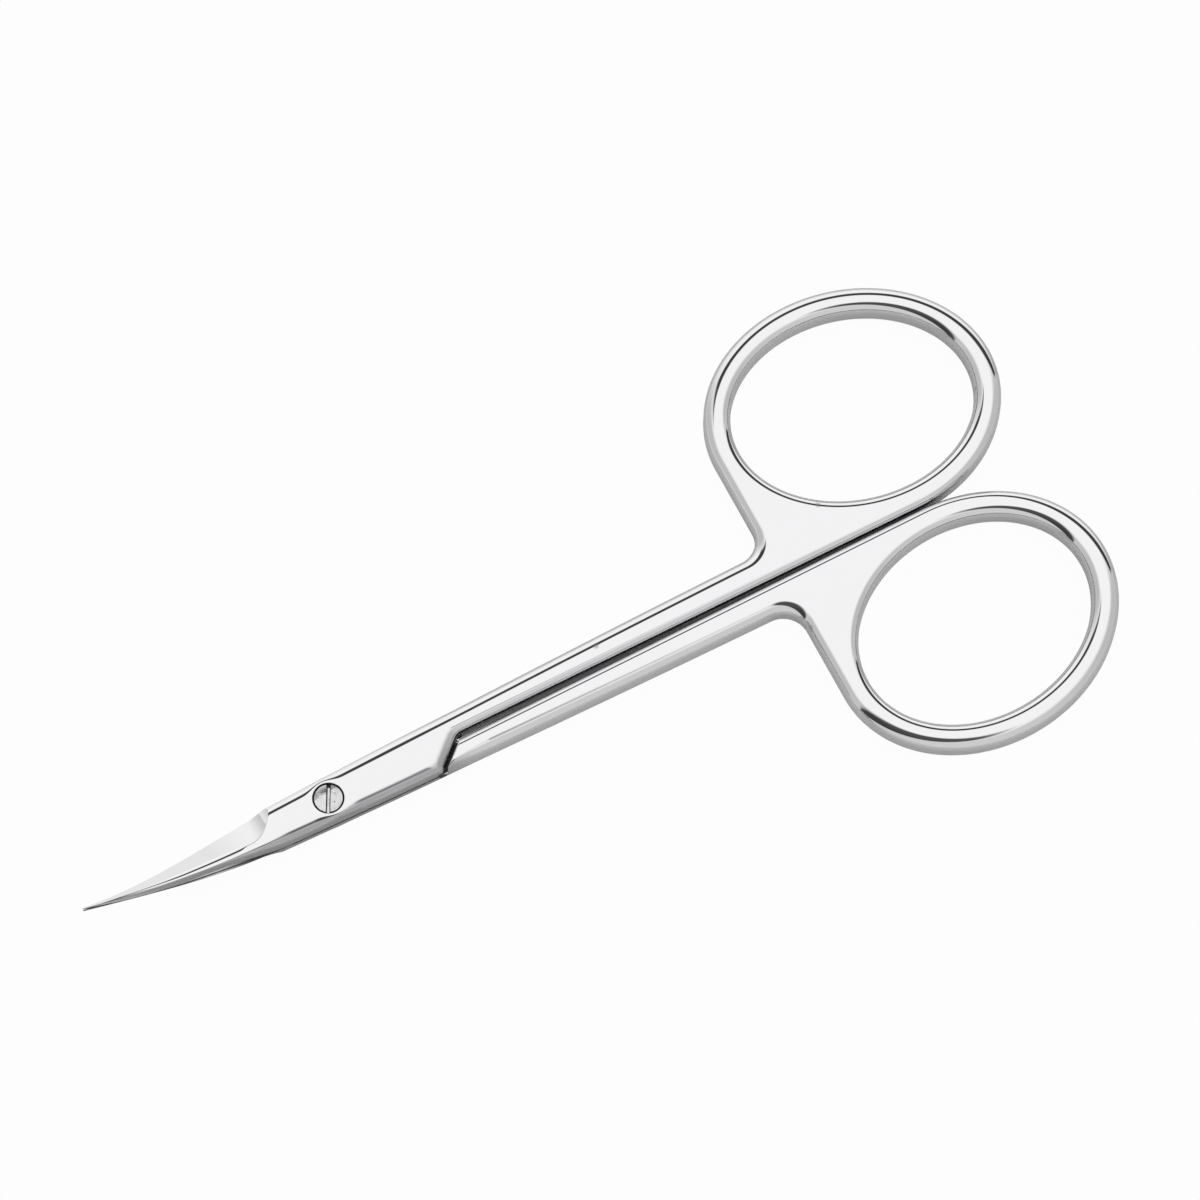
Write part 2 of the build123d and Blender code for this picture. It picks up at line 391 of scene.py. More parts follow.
# %% Keep points, faces and normals
class Skin:
    """A closed surface in millimetres, with the true normal at each corner of each face."""

    def __init__(self):
        self.points = []
        self.number = {}
        self.faces = []
        self.normals = []

    def point(self, place):
        """The number of the point at this place, which is made if there is none yet."""
        key = tuple(round(float(c), 5) + 0.0 for c in place)
        if key not in self.number:
            self.number[key] = len(self.points)
            self.points.append(key)
        return self.number[key]

    def face(self, places, normals):
        """Adds one face. It is turned to look the way its normals do."""
        ids = [self.point(place) for place in places]
        keep = [n for n in range(len(ids)) if ids[n] != ids[n - 1]]
        if len(set(ids)) < 3 or len(keep) < 3:
            return
        a, b, c = (np.array(places[keep[n]]) for n in (0, 1, 2))
        turn = np.cross(b - a, c - a)
        if len(keep) == 4:
            turn = np.cross(c - a, np.array(places[keep[3]]) - b)
        if turn @ sum(np.array(normals[n]) for n in keep) < 0:
            keep = keep[::-1]
        self.faces.append([ids[n] for n in keep])
        self.normals.extend(normals[n] for n in keep)

    def patch(self, places, normals):
        """Adds a grid of points, rows by columns, as four-sided faces."""
        for r in range(len(places) - 1):
            for c in range(len(places[0]) - 1):
                ring = ((r, c), (r, c + 1), (r + 1, c + 1), (r + 1, c))
                self.face([places[i][j] for i, j in ring], [normals[i][j] for i, j in ring])

    def flat(self, outlines, normal):
        """Adds a flat face with holes, cut into triangles."""
        outlines = [[tuple(p) for p in line] for line in outlines]
        flat_points = [p for line in outlines for p in line]
        for corners in tessellate_polygon([[Vector(p) for p in line] for line in outlines]):
            self.face([flat_points[n] for n in corners], [normal] * 3)

    def half_turned(self):
        """The same skin turned half a turn about the X axis at mid height."""
        other = Skin()
        other.points = [(x, -y, thickness - z) for x, y, z in self.points]
        other.number = {tuple(round(c, 5) + 0.0 for c in p): n for n, p in enumerate(other.points)}
        other.faces = [list(face) for face in self.faces]
        other.normals = [(n[0], -n[1], -n[2]) for n in self.normals]
        return other

    def make(self, name):
        """Makes the object, in metres, with smooth faces."""
        mesh = bpy.data.meshes.new(name)
        mesh.from_pydata([[c * mm for c in p] for p in self.points], [], self.faces)
        mesh.shade_smooth()
        mesh.normals_split_custom_set([Vector(n).normalized() for n in self.normals])
        thing = bpy.data.objects.new(name, mesh)
        bpy.context.scene.collection.objects.link(thing)
        print(name, len(mesh.vertices), "points,", len(mesh.polygons), "faces")
        return thing


trial = Skin()
trial.patch([[(0, 0, 0), (1, 0, 0)], [(0, 1, 0), (1, 1, 0)]], [[(0, 0, 1)] * 2] * 2)
print("a trial patch has", len(trial.points), "points and", len(trial.faces), "face")

# %% [markdown]
# ## Ring, web, shank and plate
# The forging's wall is upright at mid height. Above and below it the edge is rounded, taller than
# it is wide, up to a narrow flat: the shape that a polishing wheel gives to a stamped edge. Rows of
# points between the wall's line and the flat's line follow that quarter of an ellipse.

# %% Sweep a rounded edge
round_steps = 12
wall_steps = 2


def plan_normals(line, closed):
    """Which way each point of a line faces in plan. The steel is on its left."""
    if closed:
        ahead, behind = np.roll(line, -1, 0), np.roll(line, 1, 0)
    else:
        ahead = np.concatenate([line[1:], line[-1:]])
        behind = np.concatenate([line[:1], line[:-1]])
    run = ahead - behind
    out = np.stack([run[:, 1], -run[:, 0]], 1)
    return out / np.linalg.norm(out, axis=1)[:, None]


def edge_rows(wall, flat, wall_z, flat_z, closed):
    """Rows of the rounded edge from the wall's line to the flat's, with their normals."""
    rows, normals = [], []
    wall_z = np.full((len(wall), 1), 1.0) * wall_z
    rise = flat_z - wall_z
    for n in range(round_steps + 1):
        turn = pi / 2 * n / round_steps
        line = wall + (flat - wall) * (1 - cos(turn))
        out = plan_normals(line, closed)
        inset = -((flat - wall) * out).sum(1, keepdims=True)
        rows.append(np.hstack([line, wall_z + rise * sin(turn)]))
        upright = np.sign(rise) * inset * sin(turn)
        normals.append(np.hstack([out * np.abs(rise) * cos(turn), upright]))
    return rows, normals


def wall_rows(wall, low, high, closed):
    """Rows of an upright wall."""
    out = np.hstack([plan_normals(wall, closed), np.zeros((len(wall), 1))])
    low, high = (np.full((len(wall), 1), 1.0) * z for z in (low, high))
    heights = [low + (high - low) * n / wall_steps for n in range(wall_steps + 1)]
    return [np.hstack([wall, z]) for z in heights], [out] * len(heights)


def closed_up(rows, normals):
    """The same rows with the first point repeated at the end."""
    return tuple([np.vstack([row, row[:1]]) for row in given] for given in (rows, normals))


shank_edge = edge_rows(outer_wall, outer_flat, thickness - depth_at(outer_wall), thickness, False)
print(len(shank_edge[0]), "rows of", len(shank_edge[0][0]), "points round the outer layer's edge")

# %% [markdown]
# The screw's holes are turned, so each is a stack of circles. The upper half has a straight hole for
# the screw's bearing under a wide one for its head. The lower half has the threaded hole, drawn
# plain, with a small cone below for the screw's spread end. Both have a little broken edge.

# %% Turn the bores
bore_points = 72
bore_angles = [2 * pi * n / bore_points for n in range(bore_points)]
head_seat = [(1.345, thickness), (1.315, 2.77), (1.315, 2.12), (0.87, 2.12), (0.87, lap)]
spread_seat = [(0.97, thickness), (0.95, 2.76), (0.7, 2.46), (0.7, lap)]


def circle(radius, z):
    """Points of a level circle about the pivot axis."""
    return [(radius * cos(a), radius * sin(a), z) for a in bore_angles]


def bore(skin, profile):
    """A turned hole, from its mouth down, given as radii and heights."""
    for (r0, z0), (r1, z1) in zip(profile, profile[1:]):
        rows = [np.array(circle(r, z)) for r, z in ((r0, z0), (r1, z1))]
        faces = np.array([((z1 - z0) * cos(a), (z1 - z0) * sin(a), r0 - r1) for a in bore_angles])
        skin.patch(*closed_up(rows, [faces] * 2))


print("bearing hole", 2 * head_seat[-1][0], "mm, head's seat", 2 * head_seat[1][0], "mm across")

# %% [markdown]
# Now the forging is put together: walls, rounded edges, flats, the finger hole and the bore. Flats
# are cut into triangles round their holes. The front of the plate is left open where the blade will
# join it, with the same points on the opening as the blade's first section will have.

# %% Build both forgings
wall_top = thickness - round_depth
hole_points = 240
hole_angles = np.linspace(0, 2 * pi, hole_points + 1)[:-1]
hole_facing = np.stack([np.cos(hole_angles), np.sin(hole_angles)], 1)
hole_wall = ring_centre + np.array([ring_point(hole_half, a) for a in hole_angles])
hole_flat = hole_wall + hole_facing * hole_round
flat_steps = 4
lap_steps = 4


def at_height(line, z):
    """A plan line as points at one height."""
    return [(float(x), float(y), z) for x, y in line]


def level_strip(width_a, width_b, steps, z):
    """Points across the joint with the blade, from -Y to +Y, without the ends."""
    return [(-join, float(y), z) for y in np.linspace(-width_a, width_b, steps + 1)[1:-1]]


def forging(bore_profile):
    """One half without its blade, lying as the upper half does."""
    skin = Skin()
    outer_top = thickness - depth_at(outer_wall)
    skin.patch(*wall_rows(outer_wall, lap, outer_top, False))
    skin.patch(*edge_rows(outer_wall, outer_flat, outer_top, thickness, False))
    skin.patch(*closed_up(*wall_rows(inner_wall, round_depth, lap, True)))
    skin.patch(*closed_up(*edge_rows(inner_wall, inner_flat, round_depth, 0, True)))
    hole, hole_line = hole_wall[::-1], hole_flat[::-1]
    skin.patch(*closed_up(*wall_rows(hole, round_depth, wall_top, True)))
    skin.patch(*closed_up(*edge_rows(hole, hole_line, wall_top, thickness, True)))
    skin.patch(*closed_up(*edge_rows(hole, hole_line, round_depth, 0, True)))
    front_y = -outer_flat[0][1], outer_flat[-1][1]
    top = at_height(outer_flat, thickness) + level_strip(*front_y, flat_steps, thickness)[::-1]
    mouth = circle(bore_profile[0][0], thickness)
    skin.flat([top, at_height(hole_flat, thickness), mouth], (0, 0, 1))
    skin.flat([at_height(inner_flat, 0), at_height(hole_flat, 0)], (0, 0, -1))
    gap_end, nose_end = len(plate_run) - end_points, len(outer_wall) - front_points
    around_nose = nose_run[short_points - 1 : 1 - end_points]
    lap_line = at_height(outer_wall[: gap_end + 1][::-1], lap)
    lap_line += level_strip(side_y(-join), side_y(-join), lap_steps, lap)
    lap_line += at_height(outer_wall[nose_end:][::-1], lap) + at_height(around_nose[1:-1], lap)
    skin.flat([lap_line, circle(bore_profile[-1][0], lap)], (0, 0, -1))
    bore(skin, bore_profile)
    return skin


upper_skin = forging(head_seat)
lower_skin = forging(spread_seat).half_turned()
print("upper forging", len(upper_skin.faces), "faces; lower", len(lower_skin.faces))

# %% [markdown]
# ## Blades
# A blade goes on from the plate, narrows to a point and curves up. Its outer face is ground to a
# bevel that meets a narrow flat, the ridge, and the grinding wheel leaves a crescent where it comes
# off the plate. The section is worked out at each station from a few facts, so the crescent and the
# polished ridge are real forms in the mesh, and not shading.

# %% Follow the blade's line
tip_reach = 22.1
bend_reach = 7.5
tip_rise = 4.0
tip_width = 0.10
root_step = 0.03


def arc_height(rise, x):
    """How far the blade has curved up at x before the pivot, with this rise at the tip."""
    run = tip_reach - bend_reach
    radius = (run**2 + rise**2) / (2 * rise)
    return radius - sqrt(radius**2 - max(0.0, x - bend_reach) ** 2)


def along_blade(x):
    """0 at the blade's root, 1 at its tip."""
    return min(1.0, max(0.0, (x - plate_front) / (tip_reach - plate_front)))


def half_width(x):
    """From the blade's middle to its cutting edge."""
    if x <= plate_front:
        return side_y(-x)
    u = along_blade(x)
    root = side_y(-plate_front) - root_step * ease((x - plate_front) / 2)
    return tip_width / 2 + (root - tip_width / 2) * (1 - u + cos(pi * u / 2) ** 2) / 2


for reach in (plate_front, bend_reach, 12.0, 18.0, tip_reach):
    width, rise = half_width(reach), arc_height(tip_rise, reach)
    print("at", reach, "mm: half width", round(float(width), 2), "and rise", round(rise, 2))

# %% [markdown]
# The section has a cutting edge with a narrow land, the bevel, the ridge's flat, a rounded back and
# the lap face. The bevel is a plane as far as the grinding wheel's edge, and from there to the
# plate it rises like the wheel, a circle. Where that circle cuts the plate's rounded edge it draws
# the crescent. All sizes of a section are kept in one dictionary and worked out once.

# %% Name the section's sizes
tip_thickness = 0.15
edge_land, land_limit = 0.08, 0.4
back_flatness = 0.13
tip_lean = 0.15
wheel_radius = 3.8
wheel_leaves = 7.35
ridge_least, ridge_share, ridge_limit = 0.12, 0.3, 0.75
worn_from, worn_until = 7.6, 19
band_least, band_share, band_scale, band_limit = 0.40, 0.44, 0.87, 0.3
foot_blend, touch_blend = 2.5, 0.6
sharp_soft, worn_soft = 0.05, 0.20
below_steps, bevel_steps, above_steps = 6, 12, 6


def ridge_softness(x, width, room):
    """Half the width over which polishing has rounded the ridge."""
    soft = sharp_soft * ease(room / 0.5) if x < wheel_leaves else sharp_soft * ease(width / 0.6)
    return soft + worn_soft * ease((x - worn_from) / 0.8) * ease((worn_until - x) / 6)


print("the wheel's circle starts", wheel_leaves, "mm before the screw, radius", wheel_radius, "mm")

# %% Work out the section at a station
facts_at = {}


def facts(side, x):
    """The section x before the pivot: widths, depths, and where the bevel meets the rest."""
    if (side, x) in facts_at:
        return facts_at[side, x]
    f = {"x": x, "side": side}
    lean = tip_lean * along_blade(x) if side < 0 else 0
    width = half_width(x)
    back_width = width - back_flatness * sin(2 * pi * along_blade(x))
    f["edge"] = lean + width
    f["back"] = lean - back_width
    outer_rise = arc_height(tip_rise + side * (tip_thickness - middle), x)
    f["deep"] = middle - half_gap + side * (outer_rise - arc_height(tip_rise, x))
    ridge = min(ridge_least + ridge_share * width, ridge_limit * back_width)
    on_plate = flat_y(-min(x, plate_front))
    back_band = (back_width - band_least - band_share * width) / band_scale
    on_blade = back_width - max(back_band, band_limit * (back_width - ridge))
    f["foot"] = lean - (on_plate + (on_blade - on_plate) * ease((x - join) / foot_blend))
    f["round"] = f["deep"] * plate_depth / (middle - half_gap)
    f["wall"] = f["deep"] - f["round"]
    start = max(x, wheel_leaves)
    if start > x:
        at = facts(side, start)
        slope, level, f["land"] = at["slope"], at["level"], at["land"]
        lift = wheel_radius - sqrt(wheel_radius**2 - (start - x) ** 2)
        level += lift * sqrt(1 + slope**2)
    else:
        f["land"] = min(edge_land, land_limit * f["deep"])
        slope = (f["deep"] - f["land"]) / (width + ridge)
        level = f["land"] + slope * f["edge"]
    f["slope"], f["level"] = slope, level
    crown = flat_y(-x) if x <= plate_front else f["edge"] - plate_round
    reach = hypot(f["round"], slope * (f["edge"] - crown))
    tilt = atan2(slope * (f["edge"] - crown), f["round"])
    share = (level - slope * crown - f["wall"]) / reach
    quarter = pi / 2
    if x >= wheel_leaves:
        low, high = 0, quarter
    elif share >= 1:
        first = quarter * below_steps / round_steps
        touch = quarter - tilt
        low = high = first + (touch - first) * min(1.0, (x - join) / touch_blend)
    else:
        low, high = asin(max(-1.0, share)) - tilt, pi - asin(max(-1.0, share)) - tilt
    f["low"], f["high"] = max(0.0, low), min(quarter, high)
    f["land_top"] = f["wall"] if low > 0 else level - slope * f["edge"]
    f["crown"] = crown
    f["ridge"] = crown if high < quarter else (level - f["deep"]) / slope
    f["soft"] = ridge_softness(x, width, crown - f["ridge"])
    facts_at[side, x] = f
    return f


close_stations = np.round(np.arange(join, 7.6, 0.1), 3)
wide_stations = np.round(np.arange(7.75, 22, 0.25), 3)
stations = [*close_stations, *wide_stations, 22.0, tip_reach]
print(len(stations), "stations; ridge at 12 mm:", round(facts(1, 12.0)["ridge"], 3))

# %% [markdown]
# Each part of the section is a small function: it takes the facts and a share from 0 to 1 along the
# part, and gives the place. The order is that of a walk round the section, from the lap at the
# cutting edge, over the bevel and the ridge to the back, and home along the lap face.

# %% Write the parts at the cutting edge
def spot(f, y, depth):
    """A place in the section, y towards the cutting edge and depth out from the lap."""
    height = middle + f["side"] * (half_gap + depth) + arc_height(tip_rise, hypot(f["x"], y))
    return np.array([-f["x"], f["side"] * y, height])


def on_edge_round(f, turn):
    """A place on the rounded edge above the cutting edge, before the bevel cuts it away."""
    return f["crown"] + (f["edge"] - f["crown"]) * cos(turn), f["wall"] + f["round"] * sin(turn)


def edge_wall(f, s):
    """The narrow land at the cutting edge."""
    return f["edge"], f["land_top"] * s


def below_bevel(f, s):
    """The rounded edge under the bevel, where there is any."""
    if f["low"] <= 0:
        return f["edge"], f["land_top"]
    return on_edge_round(f, f["low"] * s)


crowding = 1.6


def bevel(f, s):
    """The bevel, its points closer together towards the ridge."""
    start = below_bevel(f, 1)
    if f["high"] < pi / 2:
        end = on_edge_round(f, f["high"])
        return start[0] + (end[0] - start[0]) * s, start[1] + (end[1] - start[1]) * s
    top = f["ridge"] + f["soft"]
    y = start[0] + (top - start[0]) * (1 - (1 - s) ** crowding)
    return y, f["level"] - f["slope"] * y


sample = facts(1, 12.0)
print("cutting edge 12 mm before the screw:", spot(sample, *edge_wall(sample, 0)).round(2))

# %% Write the parts from the ridge to the back
def above_bevel(f, s):
    """What the bevel leaves of the rounded edge, or the ridge, softened to a curve."""
    if f["high"] < pi / 2:
        return on_edge_round(f, f["high"] + (pi / 2 - f["high"]) * s)
    y, depth = bevel(f, 1)
    end = f["ridge"] - f["soft"]
    inward = 1 - s
    mid_y, mid_depth = f["ridge"], f["deep"]
    return (inward**2 * y + 2 * inward * s * mid_y + s**2 * end,
            inward**2 * depth + 2 * inward * s * mid_depth + s**2 * f["deep"])


def ridge_flat(f, s):
    """The narrow flat between the bevel and the back's rounding."""
    start = above_bevel(f, 1)[0]
    return start + (f["foot"] - start) * s, f["deep"]


def back_round(f, s):
    """The rounded edge along the back."""
    turn = pi / 2 * (1 - s)
    return f["foot"] + (f["back"] - f["foot"]) * cos(turn), f["wall"] + f["round"] * sin(turn)


def back_wall(f, s):
    """The upright part of the back, down to the lap."""
    return f["back"], f["wall"] * (1 - s)


def lap_face(f, s):
    """The flat that slides on the other blade."""
    return f["back"] + (f["edge"] - f["back"]) * s, 0.0


section_parts = (
    (edge_wall, wall_steps), (below_bevel, below_steps), (bevel, bevel_steps),
    (above_bevel, above_steps), (ridge_flat, flat_steps), (back_round, round_steps),
    (back_wall, wall_steps), (lap_face, lap_steps),
)
print(sum(steps for part, steps in section_parts), "points round each section")

# %% [markdown]
# The normal of each part is found by stepping a hair along the blade and a hair across it, and
# taking the direction square to both steps. Where a part has no width yet, as at the crescent's
# point, its normal is borrowed from the next station where it has.

# %% Lay the blades' skin
hair = 1e-4
no_width = 1e-9


def true_normal(side, part, x, s):
    """Which way a part of the section faces at a station, or nothing where it has no width."""
    x_a, x_b = max(join, x - hair), min(tip_reach, x + hair)
    s_a, s_b = max(0.0, s - hair), min(1.0, s + hair)
    place = lambda at, share: spot(facts(side, at), *part(facts(side, at), share))
    across = place(x, s_b) - place(x, s_a)
    if np.linalg.norm(across) < no_width:
        return None
    normal = np.cross(place(x_b, s) - place(x_a, s), across)
    return normal / np.linalg.norm(normal)


def lay_blade(skin, side):
    """Adds the blade of one half to its skin."""
    for part, steps in section_parts:
        shares = [n / steps for n in range(steps + 1)]
        rows = [[spot(facts(side, x), *part(facts(side, x), s)) for s in shares] for x in stations]
        normals = [[true_normal(side, part, x, s) for s in shares] for x in stations]
        for column in range(steps + 1):
            known = [n for n in range(len(stations)) if normals[n][column] is not None]
            for n in range(len(stations)):
                if normals[n][column] is None and known:
                    normals[n][column] = normals[min(known, key=lambda k: abs(k - n))][column]
        if all(n is not None for row in normals for n in row):
            skin.patch(rows, normals)
    end = facts(side, tip_reach)
    outline = [spot(end, *part(end, n / steps)) for part, steps in section_parts for n in range(steps)]
    centre = sum(outline) / len(outline)
    for n in range(len(outline)):
        skin.face([outline[n - 1], outline[n], centre], [(-1, 0, 0)] * 3)


lay_blade(upper_skin, 1)
lay_blade(lower_skin, -1)
upper_half = upper_skin.make("upper_half_steel")
lower_half = lower_skin.make("lower_half_steel")

# %% [markdown]
# ## Pivot screw
# The screw's head lies sunk in the plate, with a slot across it, and its far end is spread into a
# countersink so that it can't work loose. The head is drawn as two D shapes beside the slot. Years
# of screwdrivers have worn it, so its face is pressed in and raised a little by a few smooth waves.

# %% Name the screw's sizes and its wear
head_radius, head_face_radius = 1.25, 1.17
head_top, head_edge, slot_floor, head_under = 2.76, 2.66, 2.46, 2.14
slot_half = 0.185
slot_angle = radians(62)
slot_along = np.array([cos(slot_angle), sin(slot_angle), 0])
slot_across = np.array([-sin(slot_angle), cos(slot_angle), 0])
up = np.array([0, 0, 1.0])
arc_steps, face_steps, slot_end_steps = 44, 12, 6
screw_body = [(1.25, head_under), (0.85, head_under), (0.85, 1.38), (0.70, 1.38), (0.70, 0.34),
              (0.93, 0.08), (0.90, 0.04), (0.55, 0.03), (0.22, 0.05), (0.12, 0.14), (0.0, 0.17)]
dents = ((-0.020, 0.55, -0.50, 0.03), (-0.018, -0.35, 0.62, 0.02))
crowning = 0.015


def head_angles(radius):
    """The angles round one D, from the slot's one end to its other."""
    start = asin(slot_half / radius)
    return np.linspace(start, pi - start, arc_steps + 1)


def on_head(along, across, z):
    """A place given along the slot, across it and up."""
    return along * slot_along + across * slot_across + z * up


def worn(along, across):
    """How far the worn face stands above or below its plane."""
    height = 0.018 * sin(3.1 * along + 1.7 * across + 0.6) + 0.009 * sin(5.3 * across - 2.2 * along)
    for deep, dent_along, dent_across, spread in dents:
        height += deep * exp(-((along - dent_along) ** 2 + (across - dent_across) ** 2) / spread)
    return height - crowning * (along**2 + across**2)


print("wear at the middle of the face:", round(worn(0, 0), 4), "mm")

# %% [markdown]
# The face's normals come from the slope of the wear, taken over a small step to each side, so that
# its soft waves bend the reflections although the face has few points. The sides of the slot and
# the rim stay crisp, because there each patch brings its own normals.

# %% Lay one D of the head
slope_step = 0.01
rim_lean = 0.8


def worn_normal(along, across):
    """Which way the worn face looks."""
    slope_a = (worn(along + slope_step, across) - worn(along - slope_step, across)) / (2 * slope_step)
    slope_b = (worn(along, across + slope_step) - worn(along, across - slope_step)) / (2 * slope_step)
    return up - slope_a * slot_along - slope_b * slot_across


def lay_head(skin, hand):
    """One D of the head: its rim, its bevelled edge, its face and its side of the slot."""
    round_out = [on_head(cos(a), hand * sin(a), 0) for a in head_angles(head_radius)]
    rim = [[head_radius * out + z * up for out in round_out] for z in (slot_floor, head_edge)]
    skin.patch(rim, [round_out] * 2)
    face, faces = [], []
    for n in range(face_steps + 1):
        row, normals = [], []
        for angle in head_angles(head_face_radius):
            along = head_face_radius * cos(angle)
            across = slot_half + (head_face_radius * sin(angle) - slot_half) * (1 - n / face_steps)
            row.append(on_head(along, hand * across, head_top + worn(along, hand * across)))
            normals.append(worn_normal(along, hand * across))
        face.append(row)
        faces.append(normals)
    skin.patch(face, faces)
    edge_out = [out + rim_lean * up for out in round_out]
    skin.patch([rim[1], face[0]], [edge_out] * 2)
    inward = -hand * slot_across
    top = [rim[1][0]] + face[-1] + [rim[1][-1]]
    foot = [on_head(p @ slot_along, hand * slot_half, slot_floor) for p in top]
    skin.patch([foot, top], [[inward] * len(top)] * 2)
    return foot


print("slot", 2 * slot_half, "mm wide and", round(head_top - slot_floor, 2), "mm deep")

# %% Build the screw
def lay_screw():
    """The head's two halves, the slot's floor, and the body as a stack of circles."""
    skin = Skin()
    foot_a, foot_b = lay_head(skin, 1), lay_head(skin, -1)
    skin.patch([foot_a, foot_b], [[up] * len(foot_a)] * 2)
    start = asin(slot_half / head_radius)
    end_arc = np.linspace(-start, start, slot_end_steps + 1)

    def ring(radius, z, angles):
        return np.array([on_head(radius * cos(a), radius * sin(a), z) for a in angles])

    for turn in (0, pi):
        arc = ring(head_radius, slot_floor, end_arc + turn)
        for n in range(1, slot_end_steps):
            skin.face([arc[0], arc[n], arc[n + 1]], [up] * 3)
    arc = head_angles(head_radius)
    turns = [*arc[:-1], *(end_arc[:-1] + pi), *(arc[:-1] + pi), *(end_arc[:-1] + 2 * pi)]
    rings = [(head_radius, slot_floor)] + screw_body
    for (r0, z0), (r1, z1) in zip(rings, rings[1:]):
        rows = [ring(r0, z0, turns), ring(r1, z1, turns)]
        skin.patch(*closed_up(rows, [ring(z0 - z1, r1 - r0, turns)] * 2))
    return skin


screw = lay_screw().make("slotted_pivot_screw")

# %% [markdown]
# ## Where the halves meet
# Oil and dust settle in the joint, and shade falls into its narrow gaps: along the lap, in the slanted
# gap behind the plate and round the screw's head. Both are painted as one darkening, the shade as
# painted shade. Every point of the halves is given its distance from the joint, in millimetres, as
# an attribute, so that the material can darken the steel there without knowing the shape.

# %% Measure the distance from the joint
lap_end, lap_fade = 9.7, 0.6
blade_fade, edge_fade = 1.5, 0.1
seat_radius, seat_top = 1.5, 2.79
slant_reach, slant_start, slant_end = 0.3, 9.0, 12.6
slant_dirt_and_shade, slant_lighter_above, slant_fade = 0.09, 1.7, 0.25


def joint_distance(place, side):
    """How far this place is from the joint. A place that isn't near it is a millimetre away."""
    x, y, z = (c / mm for c in place)
    rise = arc_height(tip_rise, hypot(x, y)) if x < 0 else 0.0
    by_cutting_edge = ease((-x - join) / blade_fade) * ease(y * side / edge_fade + 1)
    past_lap = ease((x - lap_end) / lap_fade)
    # A line along the lap is darkened: dirt, and painted shade in the thin gap between the halves.
    from_lap = abs(z - middle - rise) + float(past_lap) + float(by_cutting_edge)
    # The seat round the screw's head and the bore below it are darkened: dirt, and painted shade in the
    # gap round the head.
    from_seat = 0.0 if hypot(x, y) < seat_radius and middle < z < seat_top else 1.0
    # In the slanted gap the steel is darkest low down and lighter higher up: dirt, and painted shade
    # deep in the gap.
    beside = abs(shoulder_edge(np.array([x, y]))[0])
    from_slant = 1.0
    if beside < slant_reach and slant_start < x < slant_end:
        from_slant = slant_dirt_and_shade + max(0.0, z - slant_lighter_above) * slant_fade
    return min(from_lap, from_seat, from_slant)


for half, side in ((upper_half, 1), (lower_half, -1)):
    measured = [joint_distance(point.co, side) for point in half.data.vertices]
    half.data.attributes.new("joint_distance", "FLOAT", "POINT").data.foreach_set("value", measured)
    print(half.name, sum(d < slant_dirt_and_shade for d in measured), "points in the joint")

# %% [markdown]
# ## Finishes as node groups
# Steel that has been polished on a wheel isn't a perfect mirror. Very fine lines run the way the
# wheel went, the surface swells a little where the wheel pressed less, and fingers leave a faint
# film. Each effect is a group with its own numbers, so both steels can share it.

# %% Helpers for node trees
def nodes_in(tree):
    """Short ways to add mathematics to one node tree."""

    def put(node, socket, value):
        if isinstance(value, (int, float, tuple)):
            node.inputs[socket].default_value = value
        else:
            tree.links.new(value, node.inputs[socket])

    def calc(operation, *values, clamp=False):
        node = tree.nodes.new("ShaderNodeMath")
        node.operation = operation
        node.use_clamp = clamp
        for number, value in enumerate(values):
            put(node, number, value)
        return node.outputs[0]

    def vector(operation, *values):
        node = tree.nodes.new("ShaderNodeVectorMath")
        node.operation = operation
        for number, value in enumerate(values):
            put(node, number, value)
        return node.outputs["Value" if operation in ("DOT_PRODUCT", "LENGTH") else "Vector"]

    def rise(value, low, high):
        node = tree.nodes.new("ShaderNodeMapRange")
        node.interpolation_type = "SMOOTHSTEP"
        put(node, "Value", value)
        put(node, "From Min", low)
        put(node, "From Max", high)
        return node.outputs["Result"]

    def noise(place, scale, detail=2.0, roughness=0.5):
        node = tree.nodes.new("ShaderNodeTexNoise")
        put(node, "Vector", place)
        put(node, "Scale", scale)
        put(node, "Detail", detail)
        put(node, "Roughness", roughness)
        return node.outputs["Fac"]

    return calc, vector, rise, noise


print("node helpers: calc, vector, rise, noise")

# %% Make a group with named sockets
def new_group(name, inputs, outputs):
    """A shader node group with float sockets, given as names and values, and its two ends."""
    group = bpy.data.node_groups.new(name, "ShaderNodeTree")
    for label, value in inputs.items():
        kind = "NodeSocketVector" if value is None else "NodeSocketFloat"
        socket = group.interface.new_socket(label, in_out="INPUT", socket_type=kind)
        if value is not None:
            socket.default_value = value
    for label in outputs:
        group.interface.new_socket(label, in_out="OUTPUT", socket_type="NodeSocketFloat")
    start = group.nodes.new("NodeGroupInput").outputs
    end = group.nodes.new("NodeGroupOutput").inputs
    print(name, "takes", ", ".join(inputs), "and gives", ", ".join(outputs))
    return group, start, end


# %% [markdown]
# A wheel leaves lines that are long one way and narrow the other two. They are noise, squeezed
# along the wheel's way by a length, which is cheaper than a picture and has no seams. Turned along
# a shank's sides with a great length, the same group gives the drag marks of a grinding belt.

